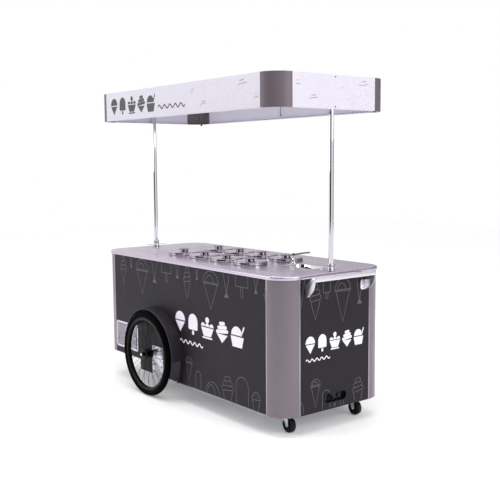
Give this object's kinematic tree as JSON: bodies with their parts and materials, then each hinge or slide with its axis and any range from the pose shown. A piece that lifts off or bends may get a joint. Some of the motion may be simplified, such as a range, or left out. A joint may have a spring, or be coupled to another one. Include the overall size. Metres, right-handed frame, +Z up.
{
  "type": "push vending cart",
  "caption": "Ice cream push cart: rounded cabinet with lidded tubs, dipper well, canopy on poles, spoked wheels, swivel casters and push handle.",
  "frame": {"origin": "middle of the cart's footprint on the floor", "axes": "+X along the length towards the push handle, -Y towards the serving side, +Z up"},
  "size_m": [2.2266, 1.1606, 2.172],
  "materials": {
    "charcoal_panel": "satin charcoal vinyl-wrapped sheet",
    "taupe_post": "satin powder coat",
    "bright_trim": "bright anodised edge strip",
    "stainless": "brushed stainless steel",
    "polished_steel": "polished stainless steel",
    "white_panel": "white coated aluminium sheet",
    "chassis_paint": "black powder coat",
    "black_plastic": "moulded",
    "black_alloy": "gloss black coated alloy",
    "tyre_rubber": "tread rubber",
    "caster_rubber": "moulded rubber",
    "zinc": "zinc plated",
    "condenser_fins": "finned",
    "water_plastic": "translucent polyethylene"
  },
  "bodies": {
    "cart": {"chassis_frame": "chassis_paint", "base_plate": "zinc", "front_panel": "charcoal_panel", "back_panel": "charcoal_panel", "left_end_panel": "charcoal_panel", "right_end_panel": "charcoal_panel", "corner_posts": "taupe_post", "corner_trims": "bright_trim", "countertop": "stainless", "tubs": "stainless", "cold_tank": "zinc", "dipper_basin": "polished_steel", "tap_body": "polished_steel", "pole_sockets": "black_plastic", "axle_bracket_front": "stainless", "axle_bracket_back": "stainless", "mudguard_front": "charcoal_panel", "mudguard_back": "charcoal_panel", "caster_plates": "zinc", "handle_bar": "stainless", "handle_brackets": "stainless", "vent_grille": "stainless", "power_inlet": "black_plastic", "door_hinges": "zinc", "condenser": "condenser_fins", "compressor": "chassis_paint", "water_tanks": "water_plastic", "fasteners": "zinc"},
    "canopy": {"poles": "polished_steel", "canopy_frame": "white_panel", "canopy_roof": "white_panel", "canopy_fascia": "white_panel", "canopy_corners": "taupe_post"},
    "lid_front_1": {"lid_front_1": "polished_steel"},
    "lid_front_2": {"lid_front_2": "polished_steel"},
    "lid_front_3": {"lid_front_3": "polished_steel"},
    "lid_front_4": {"lid_front_4": "polished_steel"},
    "lid_back_1": {"lid_back_1": "polished_steel"},
    "lid_back_2": {"lid_back_2": "polished_steel"},
    "lid_back_3": {"lid_back_3": "polished_steel"},
    "lid_back_4": {"lid_back_4": "polished_steel"},
    "tap_spout": {"tap_spout": "polished_steel"},
    "tap_lever": {"tap_lever": "polished_steel"},
    "clamp_ring_left": {"clamp_ring_left": "polished_steel"},
    "clamp_ring_right": {"clamp_ring_right": "polished_steel"},
    "wheel_front": {"tyre_front": "tyre_rubber", "rim_front": "black_alloy", "spokes_front": "polished_steel", "hub_front": "black_alloy"},
    "caster_fork_front": {"caster_fork_front": "zinc"},
    "caster_wheel_front": {"caster_wheel_front": "caster_rubber"},
    "wheel_back": {"tyre_back": "tyre_rubber", "rim_back": "black_alloy", "spokes_back": "polished_steel", "hub_back": "black_alloy"},
    "caster_fork_back": {"caster_fork_back": "zinc"},
    "caster_wheel_back": {"caster_wheel_back": "caster_rubber"},
    "service_door": {"service_door": "charcoal_panel"},
    "door_latch": {"door_latch": "black_plastic"},
    "fan_rotor": {"fan_rotor": "black_plastic"}
  },
  "joints": [
    {"name": "canopy_lift", "type": "slide", "parent": "cart", "child": "canopy", "axis": [0, 0, 1], "range_m": [0, 0.3]},
    {"name": "lid_front_1_lift", "type": "slide", "parent": "cart", "child": "lid_front_1", "axis": [0, 0, 1], "range_m": [0, 0.25]},
    {"name": "lid_front_2_lift", "type": "slide", "parent": "cart", "child": "lid_front_2", "axis": [0, 0, 1], "range_m": [0, 0.25]},
    {"name": "lid_front_3_lift", "type": "slide", "parent": "cart", "child": "lid_front_3", "axis": [0, 0, 1], "range_m": [0, 0.25]},
    {"name": "lid_front_4_lift", "type": "slide", "parent": "cart", "child": "lid_front_4", "axis": [0, 0, 1], "range_m": [0, 0.25]},
    {"name": "lid_back_1_lift", "type": "slide", "parent": "cart", "child": "lid_back_1", "axis": [0, 0, 1], "range_m": [0, 0.25]},
    {"name": "lid_back_2_lift", "type": "slide", "parent": "cart", "child": "lid_back_2", "axis": [0, 0, 1], "range_m": [0, 0.25]},
    {"name": "lid_back_3_lift", "type": "slide", "parent": "cart", "child": "lid_back_3", "axis": [0, 0, 1], "range_m": [0, 0.25]},
    {"name": "lid_back_4_lift", "type": "slide", "parent": "cart", "child": "lid_back_4", "axis": [0, 0, 1], "range_m": [0, 0.25]},
    {"name": "tap_spout_swivel", "type": "hinge", "parent": "cart", "child": "tap_spout", "pos_m": [0.54375, 0.075, 1.043], "axis": [0, 0, 1], "range_deg": [-70, 70]},
    {"name": "tap_lever_turn", "type": "hinge", "parent": "cart", "child": "tap_lever", "pos_m": [0.54375, 0.052, 1.014], "axis": [0, 1, 0], "range_deg": [0, 90]},
    {"name": "clamp_ring_left_turn", "type": "hinge", "parent": "cart", "child": "clamp_ring_left", "pos_m": [-1.06125, 0, 1.002], "axis": [0, 0, 1], "range_deg": [0, 90]},
    {"name": "clamp_ring_right_turn", "type": "hinge", "parent": "cart", "child": "clamp_ring_right", "pos_m": [0.97875, 0, 1.002], "axis": [0, 0, 1], "range_deg": [0, 90]},
    {"name": "wheel_front_spin", "type": "hinge", "parent": "cart", "child": "wheel_front", "pos_m": [-0.35425, -0.53, 0.3005], "axis": [0, 1, 0], "continuous": true},
    {"name": "caster_swivel_front", "type": "hinge", "parent": "cart", "child": "caster_fork_front", "pos_m": [0.88375, -0.285, 0.115], "axis": [0, 0, 1], "continuous": true},
    {"name": "caster_spin_front", "type": "hinge", "parent": "caster_fork_front", "child": "caster_wheel_front", "pos_m": [0.91175, -0.285, 0.049], "axis": [0, 1, 0], "continuous": true},
    {"name": "wheel_back_spin", "type": "hinge", "parent": "cart", "child": "wheel_back", "pos_m": [-0.35425, 0.53, 0.3005], "axis": [0, 1, 0], "continuous": true},
    {"name": "caster_swivel_back", "type": "hinge", "parent": "cart", "child": "caster_fork_back", "pos_m": [0.88375, 0.285, 0.115], "axis": [0, 0, 1], "continuous": true},
    {"name": "caster_spin_back", "type": "hinge", "parent": "caster_fork_back", "child": "caster_wheel_back", "pos_m": [0.91175, 0.285, 0.049], "axis": [0, 1, 0], "continuous": true},
    {"name": "service_door_swing", "type": "hinge", "parent": "cart", "child": "service_door", "pos_m": [0.83375, 0.4425, 0.42], "axis": [0, 0, -1], "range_deg": [0, 110]},
    {"name": "door_latch_turn", "type": "hinge", "parent": "service_door", "child": "door_latch", "pos_m": [0.56475, 0.44, 0.42], "axis": [0, 1, 0], "range_deg": [0, 90]},
    {"name": "fan_spin", "type": "hinge", "parent": "cart", "child": "fan_rotor", "pos_m": [-0.79325, -0.362, 0.348], "axis": [0, 1, 0], "continuous": true}
  ]
}
